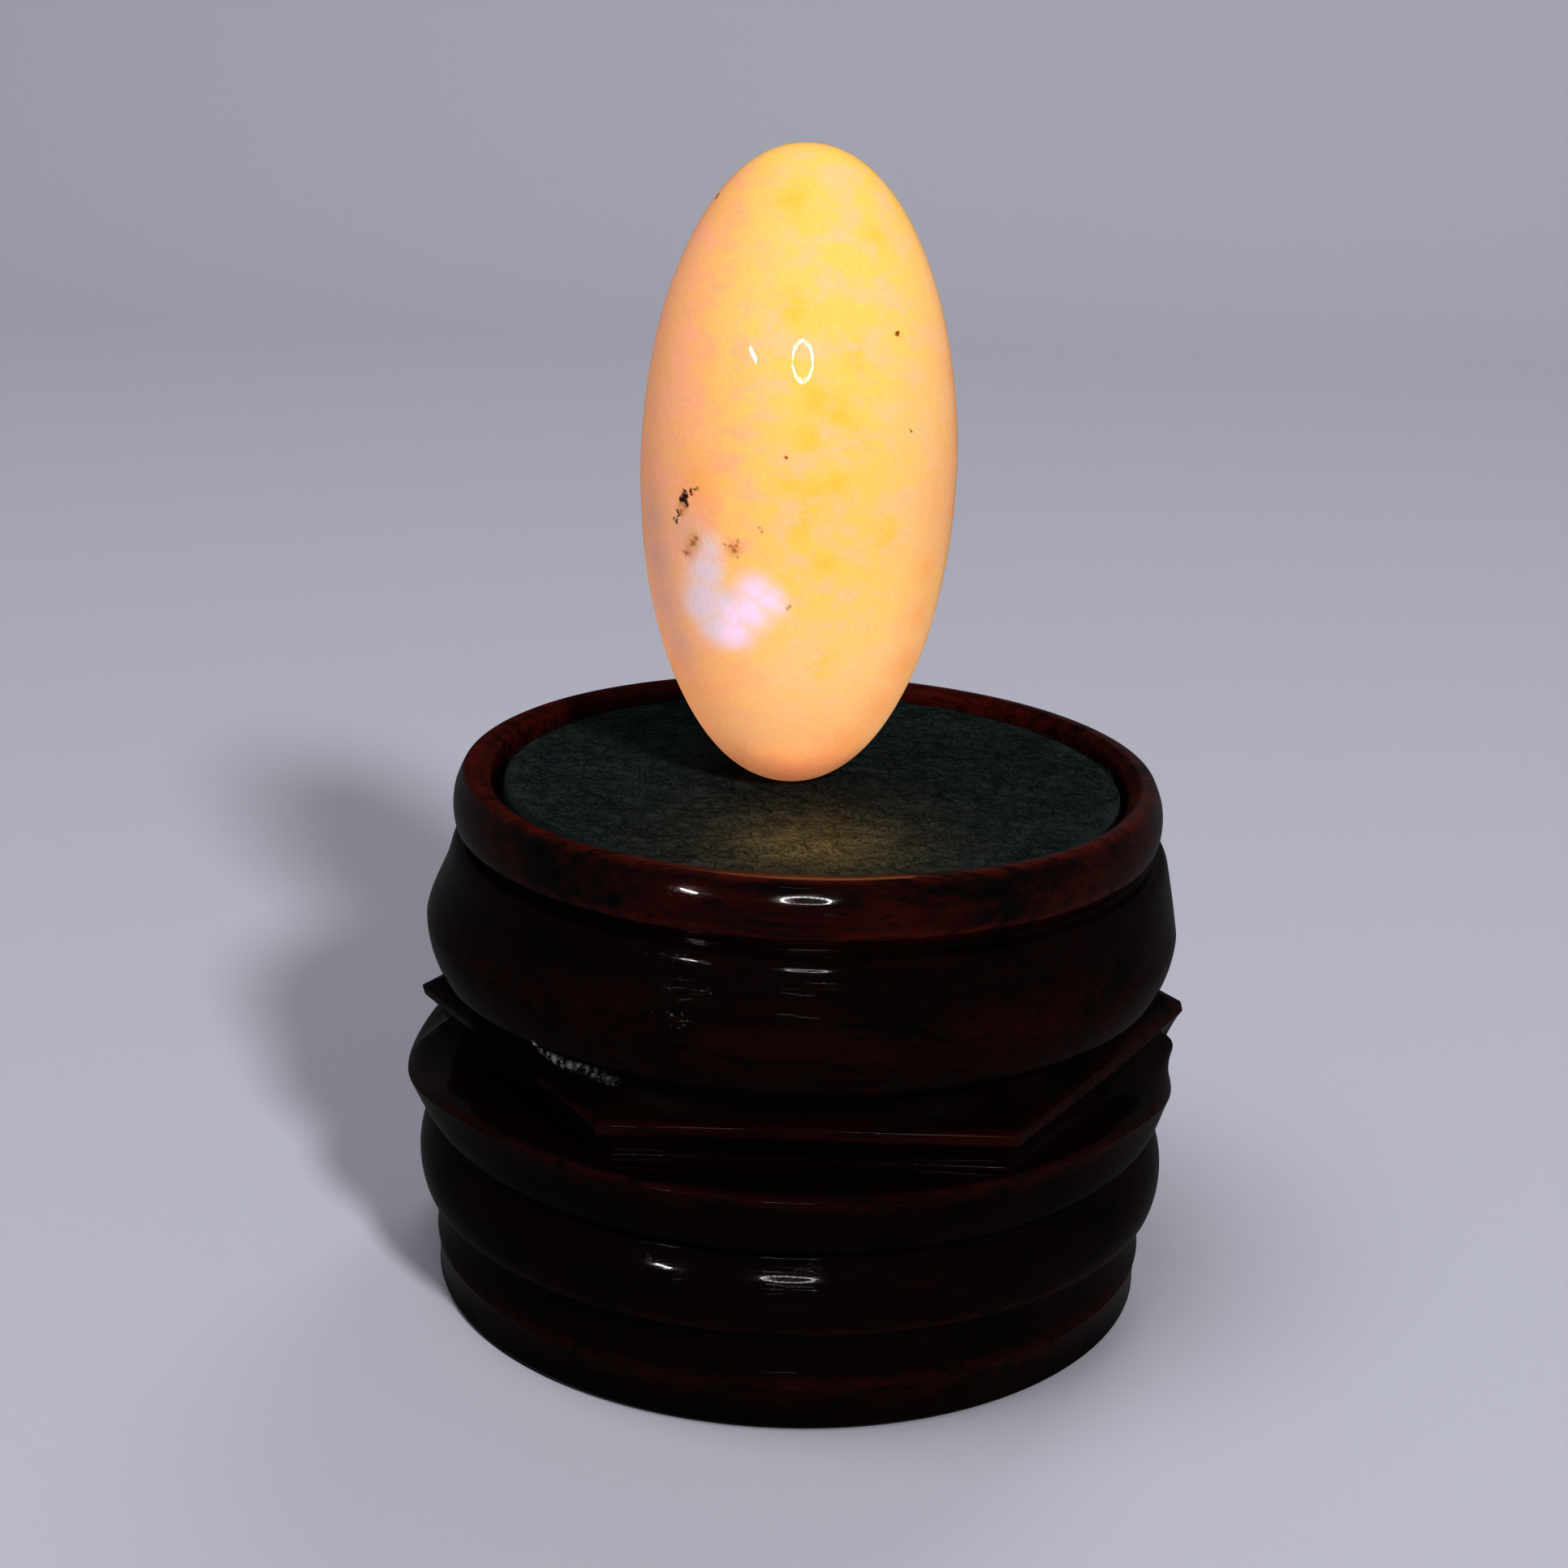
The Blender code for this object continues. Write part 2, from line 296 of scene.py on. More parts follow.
# %% Stone shape
STONE_HALF = Vector((7.26, 6.7, 14.76)) * MM
STONE_TIP = Vector((-0.67, 0.0, 24.85)) * MM
STONE_FULLNESS = 0.962
STONE_SEGMENTS = 256
STONE_RINGS = 160
WHEEL_FLATS = 0.05 * MM
WHEEL_FLAT_SIZE = 4.0 * MM


def make_stone():
    bpy.ops.object.select_all(action="DESELECT")
    bpy.ops.mesh.primitive_uv_sphere_add(segments=STONE_SEGMENTS, ring_count=STONE_RINGS, radius=1.0)
    stone = bpy.context.object
    stone.name = "polished_stone"
    for corner in stone.data.vertices:
        around = math.hypot(corner.co.x, corner.co.y)
        fuller = around ** (STONE_FULLNESS - 1.0) if around > 0.0 else 1.0
        corner.co.x *= fuller
        corner.co.y *= fuller
    bpy.ops.object.mode_set(mode="EDIT")
    bpy.ops.mesh.select_all(action="SELECT")
    bpy.ops.transform.resize(value=STONE_HALF)
    bpy.ops.transform.translate(value=STONE_TIP + Vector((0, 0, STONE_HALF.z)))
    bpy.ops.object.mode_set(mode="OBJECT")
    return stone


def grind(stone):
    """Lets the surface in by up to the depth of the flats that the wheel left."""
    places = [corner.co.copy() for corner in stone.data.vertices]
    normals = [corner.normal.copy() for corner in stone.data.vertices]
    for corner, place, normal in zip(stone.data.vertices, places, normals):
        lump = noise.noise(place / WHEEL_FLAT_SIZE)
        corner.co = place - normal * WHEEL_FLATS * (0.5 + 0.5 * lump)


stone = make_stone()
grind(stone)
select_only(stone)
bpy.ops.object.shade_smooth()
count(stone)

# %% [markdown]
# Finding a mark's place on the stone
#
# The stone's specks and patches are where nature put them, so no formula gives their places. Each
# one is written down as a point of the picture, 1932 pixels on a side, and a ray from the camera
# through that point finds where it lies on the stone. From then on it is a place in space, and the
# mark stays put when the stone is seen from anywhere else.

# %% Place of a mark
def sight(across, down):
    """The direction from the camera through a point of the picture."""
    half = PICTURE_SIDE / 2
    ray = FORWARD + RIGHT * (across - half) / FOCAL_PIXELS + UP * (half - down) / FOCAL_PIXELS
    return ray.normalized()


def surface_behind(piece, across, down):
    """The point of a piece's surface behind a point of the picture, and the face that it is on."""
    found, point, _, face = piece.ray_cast(CAMERA_PLACE, sight(across, down))
    if not found:
        raise ValueError("%s isn't behind %s, %s" % (piece.name, across, down))
    return point, piece.data.polygons[face]


def behind(piece, across, down):
    """The same point, in millimetres."""
    return surface_behind(piece, across, down)[0] / MM


PIXELS_PER_MM = FOCAL_PIXELS / ((STONE_TIP - CAMERA_PLACE).length / MM)
print("the stone is drawn at %.1f pixels to the millimetre" % PIXELS_PER_MM)

# %% [markdown]
# The stone's colour
#
# Tugtupite is a pink to orange mineral, and light gets deep into this piece, so its middle is a clear
# yellow, painted into the colour as glow. Towards its left it turns salmon, and its edges and its foot
# are darker, which is painted shade. The way light wanders inside is made with subsurface scattering,
# and the light that comes out again after a long way through is painted on as a warm emission that
# follows the same pattern, so the stone glows under any light. A ramp across the width sets the main
# change of colour, and soft noise breaks it up.

# %% Stone colour
# Specks: where each is in the picture, and how many pixels across
DARK_SPECKS = (
    (859, 602, 3), (856, 604, 3), (851, 605, 5), (853, 609, 4), (844, 606, 4), (843, 612, 8), (846, 611, 6),
    (841, 615, 8), (844, 617, 7), (840, 620, 4), (846, 621, 5), (835, 630, 4), (836, 634, 5), (834, 637, 4),
    (830, 639, 4), (834, 642, 5),
)
BROWN_SPECKS = (
    (839, 631, 5), (843, 624, 4), (857, 663, 6), (853, 667, 6), (854, 672, 6), (847, 681, 5), (843, 680, 4),
    (892, 671, 4), (899, 672, 4), (902, 675, 4), (904, 678, 5), (910, 667, 4), (908, 671, 4), (908, 687, 3),
    (936, 651, 3), (938, 656, 3), (974, 748, 5), (970, 751, 4),
)
BROWN_STAINS = ((856, 664, 16), (853, 672, 18), (849, 679, 16), (905, 676, 16), (841, 626, 14))
RUST_DOTS = ((1106, 411, 7), (969, 564, 4), (1122, 530, 4), (884, 241, 9))
DEEP_SPOTS = (
    (977, 378, 30), (976, 247, 30), (1083, 290, 28), (1057, 437, 28), (1010, 490, 28), (1034, 512, 28),
    (1060, 542, 22), (1000, 540, 24), (978, 592, 26), (1002, 612, 30), (985, 640, 40), (1030, 600, 24),
    (1097, 663, 28), (1017, 697, 18), (1010, 818, 28),
)
# Pale patch: lobes of the grey-white half and of the pink-white half
GREY_LOBES = ((866, 740, 58), (870, 705, 46), (874, 678, 26), (882, 772, 46), (892, 745, 44))
PINK_LOBES = (
    (929, 727, 34), (945, 740, 32), (925, 755, 42), (907, 780, 34), (905, 760, 26), (956, 748, 16),
)
# Painted shade, grey-brown, that runs down the left edge
LEFT_EDGE_SHADE_LOBES = ((806, 640, 40), (812, 690, 60), (822, 740, 50), (838, 790, 36), (846, 655, 36))
# Clear orange that runs down the lower right edge, and a little of it by the dark specks
ORANGE_LOBES = (
    (1142, 700, 30), (1130, 760, 40), (1112, 820, 46), (1085, 870, 50), (1045, 915, 50), (860, 600, 36),
)

SALMON = (0.60, 0.30, 0.20)
ROSE = (0.58, 0.28, 0.15)
CREAM = (0.56, 0.335, 0.17)
GLOW_YELLOW = (0.56, 0.35, 0.10)
ORANGE = (0.57, 0.25, 0.095)
DEEP_YELLOW = (0.56, 0.315, 0.045)
HEEL_SHADE_BROWN = (0.56, 0.24, 0.13)
LEFT_EDGE_SHADE_COLOUR = (0.45, 0.27, 0.23)
GREY_WHITE = (0.46, 0.38, 0.42)
PINK_WHITE = (0.60, 0.42, 0.56)
STAIN = (0.36, 0.17, 0.06)
RUST = (0.20, 0.055, 0.012)
DARK_SPECK = (0.020, 0.007, 0.004)
# Painted glow: how strongly the stone glows at shares of its width, weaker at the edges as painted shade,
# and how much more it glows at its foot
GLOW = ((0.0, 0.48), (0.25, 0.60), (0.5, 0.60), (0.8, 0.54), (1.0, 0.42))
FOOT_GLOW = 0.24
HEEL_SHADE = 0.3
CROWN_SHADE = 0.12
# Where the stone's middle and its full width are, in millimetres
STONE_MIDDLE = STONE_TIP.x / MM
STONE_WIDTH = 2 * STONE_HALF.x / MM


def blobs(paint, place, piece, marks, softness):
    """1 inside any of the marks and 0 outside, with an edge of softness millimetres."""
    nearest = None
    for across, down, width in marks:
        centre = behind(piece, across, down)
        gap = paint.reach(place, centre) - width / 2 / PIXELS_PER_MM
        nearest = gap if nearest is None else paint.maths("MINIMUM", nearest, gap)
    return 1.0 - paint.fade(nearest, -softness, softness)


def stone_material():
    paint = Paint("tugtupite")
    place = paint.millimetres()
    frayed = paint.fray(place, 0.33, 0.45)
    blurred = paint.fray(place, 1.1, 0.7)
    share = (paint.part(place, "X") - STONE_MIDDLE) / STONE_WIDTH + 0.5
    height = paint.part(place, "Z")
    broad = paint.cloud(place, 5.0, 2.0)
    mottle = paint.cloud(paint.stretch(place, (0.8, 0.8, 1.3)), 1.3, 5.0, 0.65)
    grain = paint.cloud(place, 0.2, 2.0, 0.6)

    span = share + (broad - 0.5) * 0.3 + (mottle - 0.5) * 0.25
    colour = paint.node("ValToRGB", {"stops": (
        (0.0, SALMON), (0.24, ROSE), (0.42, CREAM), (0.88, CREAM), (1.0, ROSE),
    )}, {"Fac": span})
    # Painted glow: a yellow band across the middle, where light comes deepest through the stone, fuller
    # higher up
    yellow_glow_band = paint.node("ValToRGB", {"stops": (
        (0.1, (0.25,) * 3), (0.5, (1.0,) * 3), (0.75, (1.0,) * 3), (0.98, (0.15,) * 3),
    )}, {"Fac": span})
    yellow_glow_band = paint.part(yellow_glow_band, "X") * (0.4 + 0.6 * paint.fade(height, 31.0, 37.0))
    colour = paint.mix(yellow_glow_band * paint.fade(mottle, 0.36, 0.58), colour, GLOW_YELLOW)
    foot = 1.0 - paint.fade(height + (broad - 0.5) * 5.0, 25.5, 33.0)
    colour = paint.mix(foot * 0.6, colour, ROSE)
    # Painted shade: the stone is browner and darker just above its tip
    painted_heel_shade = 1.0 - paint.fade(height + (mottle - 0.5) * 1.5, 25.2, 28.0)
    colour = paint.mix(painted_heel_shade * 0.8, colour, HEEL_SHADE_BROWN)
    deep = blobs(paint, blurred, stone, DEEP_SPOTS, 0.7)
    colour = paint.mix(deep * paint.fade(mottle, 0.30, 0.60) * 0.8, colour, DEEP_YELLOW)

    orange = blobs(paint, place, stone, ORANGE_LOBES, 1.4)
    colour = paint.mix(orange * 0.7, colour, ORANGE)
    # Painted shade down the stone's left edge
    left_edge_shade_mask = blobs(paint, place, stone, LEFT_EDGE_SHADE_LOBES, 1.6)
    grey = blobs(paint, blurred, stone, GREY_LOBES, 0.75)
    pink = blobs(paint, blurred, stone, PINK_LOBES, 0.65)
    stain = blobs(paint, frayed, stone, BROWN_STAINS, 0.3)
    colour = paint.mix(left_edge_shade_mask * 0.8, colour, LEFT_EDGE_SHADE_COLOUR)
    colour = paint.mix(grey * 0.9, colour, GREY_WHITE)
    colour = paint.mix(pink * 0.85, colour, PINK_WHITE)
    colour = paint.mix(stain * 0.6, colour, STAIN)

    brown = blobs(paint, frayed, stone, BROWN_SPECKS, 0.08)
    rust = blobs(paint, frayed, stone, RUST_DOTS, 0.05)
    dark = blobs(paint, frayed, stone, DARK_SPECKS, 0.07)
    colour = paint.mix(1.0, colour, 0.91 + 0.18 * grain, "MULTIPLY")
    colour = paint.mix(brown * 0.75, colour, RUST)
    colour = paint.mix(rust, colour, RUST)
    colour = paint.mix(dark, colour, DARK_SPECK)

    # Painted glow: the emission repeats the colour, dimmer at the edges and darkened at the heel and the
    # crown as painted shade
    stops = tuple((place_across, (glow,) * 3) for place_across, glow in GLOW)
    strength = paint.node("ValToRGB", {"stops": stops}, {"Fac": share})
    strength = paint.part(strength, "X") + FOOT_GLOW * (1.0 - paint.fade(height, 28.0, 40.0))
    strength = strength - HEEL_SHADE * painted_heel_shade - CROWN_SHADE * paint.fade(height, 48.0, 54.0)
    glow = paint.mix(1.0, colour, strength, "MULTIPLY")
    polish = 0.02 + 0.02 * paint.cloud(place, 0.8) + 0.25 * dark
    pits = paint.cloud(place, 0.12, 2.0) * 0.03 + dark * -1.0 + rust * -0.6
    return paint.finish({
        "Base Color": colour, "Roughness": polish, "Normal": paint.bump(pits, 0.02),
        "Emission Color": glow, "Emission Strength": 1.0,
        "Subsurface Weight": 0.35, "Subsurface Radius": (1.0, 0.45, 0.2), "Subsurface Scale": 3 * MM,
        "IOR": 1.5,
    })


stone.data.materials.append(stone_material())
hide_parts("stone")
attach(stone, "root")

# %% [markdown]
# The stand's profile
#
# The stand was turned from one block: a foot and a plinth ridge, a bead, a lip, a thin collar, a
# tall bead, and a plain ring round a shallow recess. A maker would draw that as half an outline,
# so the outline is written here member by member, with an arc for each round one. Heights and
# radii are in millimetres. The last two numbers of an arc are how far it stands out of a straight
# line, and how many steps it is made in.

# %% Stand profile
FOOT_R = 17.2
RIDGE = (17.35, 2.2)
COVE = (16.9, 4.6)
LOWER_BEAD_EDGE = (17.93, 5.15)
LOWER_BEAD = (18.15, 6.4)
CREASE = (17.3, 8.6)
LIP = (18.75, 10.25)
WAIST = (17.2, 12.15)
COLLAR_LOW = (18.22, 13.45)
COLLAR_TOP = (18.3, 13.95)
NECK = (15.7, 15.5)
UPPER_BEAD_FOOT = (17.3, 16.2)
UPPER_BEAD = (17.9, 18.4)
SHOULDER_BREAK = (17.2, 21.72)
SHOULDER_EDGE = (16.98, 22.17)
SHOULDER = (16.45, 22.3)
GROOVE = (16.3, 22.45)
RING_FOOT = (16.65, 23.0)
RING_BELLY = (16.7, 24.55)
RIM = (16.05, 25.55)
RIM_ROUND = (16.38, 25.33)
RIM_CROWN = (15.85, 25.55)
RIM_INNER = (15.25, 25.1)
RECESS_FLOOR = 23.5
EDGE_ROUND = 0.09


def soften(points, round_by):
    """Cuts each sharp corner of an outline by a short straight on either side of it."""
    smooth = [points[0]]
    for before, here, after in zip(points, points[1:], points[2:]):
        before, here, after = Vector(before), Vector(here), Vector(after)
        bend = (here - before).angle(after - here)
        if bend < math.radians(20):
            smooth.append(tuple(here))
            continue
        back = min(round_by, (here - before).length / 3)
        on = min(round_by, (after - here).length / 3)
        entry = here - (here - before).normalized() * back
        leave = here + (after - here).normalized() * on
        for share in (0.0, 0.25, 0.5, 0.75, 1.0):
            near, far = entry.lerp(here, share), here.lerp(leave, share)
            smooth.append(tuple(near.lerp(far, share)))
    return smooth + [points[-1]]


def stand_profile():
    points = [(0.0, RECESS_FLOOR), (8.0, RECESS_FLOOR), (RIM_INNER[0], RECESS_FLOOR), RIM_INNER]
    points += arc(RIM_INNER, RIM_CROWN, 0.14, 6) + [RIM]
    points += arc(RIM, RIM_ROUND, 0.05, 4)
    points += arc(RIM_ROUND, RING_BELLY, 0.02, 8)
    points += arc(RING_BELLY, RING_FOOT, 0.1, 6)
    points += arc(RING_FOOT, GROOVE, -0.08, 4) + [SHOULDER]
    points += arc(SHOULDER, SHOULDER_EDGE, 0.03, 4)
    points += arc(SHOULDER_EDGE, SHOULDER_BREAK, 0.024, 8)
    points += arc(SHOULDER_BREAK, UPPER_BEAD, 0.02, 12)
    points += arc(UPPER_BEAD, UPPER_BEAD_FOOT, 0.14, 10)
    points += arc(UPPER_BEAD_FOOT, NECK, -0.1, 5)
    points += arc(NECK, COLLAR_TOP, -0.2, 12) + [COLLAR_LOW]
    points += arc(COLLAR_LOW, WAIST, -0.1, 6)
    points += arc(WAIST, LIP, 0.16, 14)
    points += arc(LIP, CREASE, 0.14, 8)
    points += arc(CREASE, LOWER_BEAD, 0.22, 10)
    points += arc(LOWER_BEAD, LOWER_BEAD_EDGE, 0.06, 5)
    points += arc(LOWER_BEAD_EDGE, COVE, -0.05, 4)
    points += arc(COVE, RIDGE, -0.1, 8) + [(RIDGE[0] - 0.1, RIDGE[1] - 0.25)]
    points += [(FOOT_R, 1.0), (FOOT_R, 0.25), (FOOT_R - 0.25, 0.0), (8.0, 0.0), (0.0, 0.0)]
    return soften(points, EDGE_ROUND)


profile = stand_profile()
print("the outline has %d points" % len(profile))

# %% [markdown]
# Turning and carving the stand
#
# After the lathe came the knife. The collar is cut to six sides, with a corner pointing left and
# another pointing right, and the lip below it dips under those two corners. The whole stand also
# leans a third of a millimetre to its right, its opening isn't quite round, and the shoulder of its
# upper bead falls away on the left. All of it is a rule that moves the points of the turned solid,
# and each cut fades out above and below. Two numbers are kept for each point while its place on the
# outline is still known: how near it is to an edge where the lacquer wears thin and a painted
# highlight of edge light goes, and whether it is on the rough top of the collar.

# %% Stand shape
STAND_STEPS = 240
CARVED_SIDES = 6
CARVED_TURN = math.radians(2.0)
LIP_RISE = 1.4
LIP_CUT = 0.4
LIP_CORNER_POWER = 12
LIP_CUT_RIGHT = 0.25
WAIST_FILL_RIGHT = 1.05
WAIST_CUT_LEFT = 0.3
SHOULDER_CUT_LEFT = 0.4
SHOULDER_CUT_Z = 21.2
LEAN = 0.022
OPENING_SQUARE = 0.22
WORN_LIT_EDGES = (RIM_INNER, RIM, RING_FOOT, COLLAR_TOP, COLLAR_LOW, LIP, LOWER_BEAD_EDGE, RIDGE)
HAND_WAVE = 0.035
HAND_WAVE_SIZE = 7.0


def ramp(low, high, value):
    share = min(1.0, max(0.0, (value - low) / (high - low)))
    return share * share * (3.0 - 2.0 * share)


def carve(radius, angle, z):
    """Where the knife and the maker's hand leave a turned point, in millimetres."""
    half_side = math.pi / CARVED_SIDES
    from_flat = (angle % (2 * half_side)) - half_side
    six_sided = math.cos(half_side) / math.cos(from_flat)
    share = min(ramp(NECK[1], COLLAR_TOP[1], z), ramp(LIP[1], WAIST[1], z))
    on_lip = min(ramp(WAIST[1], LIP[1], z), ramp(CREASE[1], LIP[1], z))
    on_waist = min(ramp(LIP[1], WAIST[1], z), ramp(NECK[1], WAIST[1], z))
    on_shoulder = min(ramp(UPPER_BEAD[1], SHOULDER_CUT_Z, z), ramp(RING_FOOT[1], SHOULDER[1], z))
    between = on_lip * (1.0 - abs(math.cos(angle)) ** LIP_CORNER_POWER)
    to_right, to_left = max(0.0, math.cos(angle)), max(0.0, -math.cos(angle))
    wide = radius * (1.0 - share * (1.0 - six_sided)) - LIP_CUT * between
    wide += on_waist * (WAIST_FILL_RIGHT * to_right - WAIST_CUT_LEFT * to_left)
    wide -= on_lip * LIP_CUT_RIGHT * to_right + on_shoulder * SHOULDER_CUT_LEFT * to_left
    if z > RECESS_FLOOR + 0.1:
        wide -= OPENING_SQUARE * math.cos(4 * angle) * ramp(RIM[0], RIM_INNER[0], radius)
    turned = angle + CARVED_TURN
    lean = LEAN * max(0.0, z - LIP[1])
    return Vector((wide * math.cos(turned) + lean, wide * math.sin(turned), z + LIP_RISE * between))


def wear_and_edge_light(radius, z):
    """1 on an edge where the lacquer is thin and edge light is painted, 0 half a millimetre from it."""
    nearest = min(math.hypot(radius - edge[0], z - edge[1]) for edge in WORN_LIT_EDGES)
    return 1.0 - ramp(0.1, 0.6, nearest)


def make_stand():
    stand = turn("turned_stand", [(radius * MM, height * MM) for radius, height in profile], STAND_STEPS)
    worn = stand.data.attributes.new("worn", "FLOAT", "POINT")
    torn = stand.data.attributes.new("torn", "FLOAT", "POINT")
    for index, corner in enumerate(stand.data.vertices):
        x, y, z = corner.co / MM
        radius, angle = math.hypot(x, y), math.atan2(y, x)
        worn.data[index].value = wear_and_edge_light(radius, z)
        torn.data[index].value = ramp(COLLAR_TOP[1], 14.2, z) * ramp(15.6, 15.2, z)
        place = carve(radius, angle, z)
        if radius > RIM_INNER[0] and z > 0.3:
            wave = noise.noise(place / HAND_WAVE_SIZE)
            place += Vector((math.cos(angle), math.sin(angle), 0.0)) * (HAND_WAVE * (wave - 0.5))
        corner.co = place * MM
    select_only(stand)
    bpy.ops.object.shade_smooth_by_angle(angle=math.radians(35))
    return stand


stand = make_stand()
count(stand)

# %% [markdown]
# Lacquered wood
#
# The wood is a deep red-brown with nearly black bands, and it shows only where a light falls on it,
# so its red is painted stronger on the ring, on the lower half of the upper bead and on the worn edges,
# as painted light. Its fibres run from left to right, so on the front they show as fine level streaks and
# on the
# two sides as dots. Stretching a noise along that one direction gives both at once. The lacquer is
# a hard gloss, a little uneven. It is rough and full of open grain on top of the collar, and dull
# on the inner side of the rim.

# %% Wood material
BLACK_BROWN = (0.0018, 0.0012, 0.0011)
RED_BROWN = (0.034, 0.0045, 0.0030)
WORN_LIT_EDGE_RED = (0.070, 0.0090, 0.0045)
DUST_AND_HIGHLIGHT = (0.72, 0.78, 0.66)
# Where dust and a painted highlight sit in the torn grain under the upper bead
DUST_AND_HIGHLIGHT_STREAK = (
    (658, 1286, 6), (666, 1293, 8), (674, 1299, 10), (683, 1305, 11), (692, 1309, 10), (702, 1313, 9),
    (712, 1314, 10), (722, 1318, 9), (732, 1322, 9), (741, 1326, 8), (750, 1329, 8), (759, 1332, 7),
)


def wood_material():
    paint = Paint("lacquered_rosewood")
    place = paint.millimetres()
    height = paint.part(place, "Z")
    radius = paint.reach(paint.stretch(place, (1.0, 1.0, 0.0)), (0.0, 0.0, 0.0))
    tilt = (math.radians(4), math.radians(-3), math.radians(8))
    along = paint.stretch(place, (0.10, 1.0, 1.0), tilt)
    worn = paint.node("Attribute", {"attribute_name": "worn"}, {}, "Fac")
    torn = paint.node("Attribute", {"attribute_name": "torn"}, {}, "Fac")

    bands = paint.cloud(along, 3.2, 3.0, 0.55, 0.6)
    streaks = paint.cloud(along, 0.55, 5.0, 0.65)
    pores = paint.fade(paint.cloud(paint.stretch(place, (0.05, 1.0, 1.0), tilt), 0.16, 2.0), 0.56, 0.70)
    on_ring = paint.fade(height, 22.7, 23.1)
    lit_lower_bead = paint.fade(height, 15.8, 16.6) * (1.0 - paint.fade(height, 18.6, 21.0))
    # Painted light: the red grain is painted stronger on the ring and on the lower half of the upper bead,
    # and held close to black elsewhere as painted shade
    clear = 0.22 + on_ring * 0.78 + lit_lower_bead * 0.30
    red = paint.fade(bands * 0.55 + streaks * 0.45, 0.34, 0.62) * clear
    colour = paint.mix(red, BLACK_BROWN, RED_BROWN)
    # Worn edges show the red wood, with a painted highlight of edge light on them that grows stronger up
    # the stand
    edge_light_share = 0.25 + 0.45 * paint.fade(height, 16.0, 20.0)
    colour = paint.mix(worn * paint.fade(streaks, 0.3, 0.6) * edge_light_share, colour, WORN_LIT_EDGE_RED)
    colour = paint.mix(pores * 0.7, colour, BLACK_BROWN)

    speckle = paint.cloud(paint.fray(place, 0.5, 0.6), 0.30, 4.0, 0.75)
    # A pale streak on the torn grain: dust, with a painted highlight over it
    dust_and_highlight = blobs(paint, place, stand, DUST_AND_HIGHLIGHT_STREAK, 0.2) * paint.fade(speckle, 0.44, 0.52)
    colour = paint.mix(dust_and_highlight, colour, DUST_AND_HIGHLIGHT)
    rim_inside = 1.0 - paint.fade(radius, 15.85, 16.1)
    gloss = 0.09 + 0.05 * streaks + torn * 0.3 + dust_and_highlight * 0.3 + rim_inside * 0.4
    relief = streaks * 0.5 - pores * 0.5 + torn * speckle * 6.0
    level = paint.bump(paint.cloud(place, 2.2, 2.0), 0.03)
    return paint.finish({
        "Base Color": colour, "Roughness": gloss, "Normal": paint.bump(relief, 0.012, level),
        "IOR": 1.5, "Specular IOR Level": 0.25,
        "Coat Weight": (0.35 + 0.55 * on_ring) * (1.0 - torn) * (1.0 - rim_inside), "Coat Roughness": 0.05,
    })


stand.data.materials.append(wood_material())
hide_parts("stand")
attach(stand, "root")

# %% [markdown]
# The felt's shape
#
# The round of felt was cut to drop into the recess with a little to spare. It is pressed
# wool, so it is flat without being smooth, and the stone's tip has pushed a shallow dint into it.
# The dint is worked out from the stone: no point of the felt may be nearer to it than a hair.

# %% Felt shape
FELT_R = 14.6
FELT_TOP = 24.93
FELT_BOTTOM = 23.8
FELT_RING = 0.3
FELT_STEPS = 300
FELT_UNEVEN = 0.05
FELT_LUMP = 1.6
PRESSED_GAP = 0.06
FELT_CENTRE = LEAN * (25.05 - LIP[1]) + 0.1
FELT_SNIPPED = 0.22


def stone_underside(x, y):
    """The height of the stone's lower surface above a point, in millimetres."""
    half = STONE_HALF / MM
    tip = STONE_TIP / MM
    inside = ((x - tip.x) / half.x) ** 2 + ((y - tip.y) / half.y) ** 2
    if inside >= 1.0:
        return math.inf
    return tip.z + half.z * (1.0 - math.sqrt(1.0 - inside))


def felt_height(x, y):
    """The height of the felt's top at a point, in millimetres."""
    lump = noise.noise(Vector((x, y, 0.0)) / FELT_LUMP) + 0.5 * noise.noise(Vector((x, y, 7.0)) / 0.5)
    free = FELT_TOP + FELT_UNEVEN * lump
    return min(free, stone_underside(x, y) - PRESSED_GAP)


def snip(around):
    """How far scissors left the felt's edge out or in, in millimetres."""
    return FELT_SNIPPED * noise.noise(Vector((math.cos(around), math.sin(around), 0.0)) * 2.2)


def make_felt():
    rings = round((FELT_R - 0.4) / FELT_RING)
    outline = [(FELT_RING * step, FELT_TOP) for step in range(rings + 1)]
    outline += arc(outline[-1], (FELT_R, FELT_TOP - 0.35), 0.12, 6)
    outline += [(FELT_R, 24.3), (FELT_R, FELT_BOTTOM), (8.0, FELT_BOTTOM), (0.0, FELT_BOTTOM)]
    felt = turn("felt_round", [(radius * MM, height * MM) for radius, height in outline], FELT_STEPS)
    for corner in felt.data.vertices:
        x, y, z = corner.co / MM
        trimmed = 1.0 + snip(math.atan2(y, x)) / FELT_R * ramp(10.0, FELT_R, math.hypot(x, y))
        x, y = x * trimmed + FELT_CENTRE, y * trimmed
        if z > FELT_TOP - 0.3:
            z += felt_height(x, y) - FELT_TOP
        corner.co = Vector((x, y, z)) * MM
    select_only(felt)
    bpy.ops.object.shade_smooth()
    return felt


felt = make_felt()
count(felt)

# %% [markdown]
# Wool fibres
#
# Up close, felt is a mat of tangled fibres. Some thousands of them, each a strip that bends along
# its way and lies almost flat, are enough to break up the surface and its outer edge. They are
# made in one mesh, because a fibre alone is nothing anyone would pick up.

# %% Felt fibres
FIBRES = 9000
FIBRE_LINKS = 5
FIBRE_LENGTH = (0.5, 1.8)
FIBRE_WIDTH = 0.028
FIBRE_LIFT = 0.09
draw = random.Random(11)


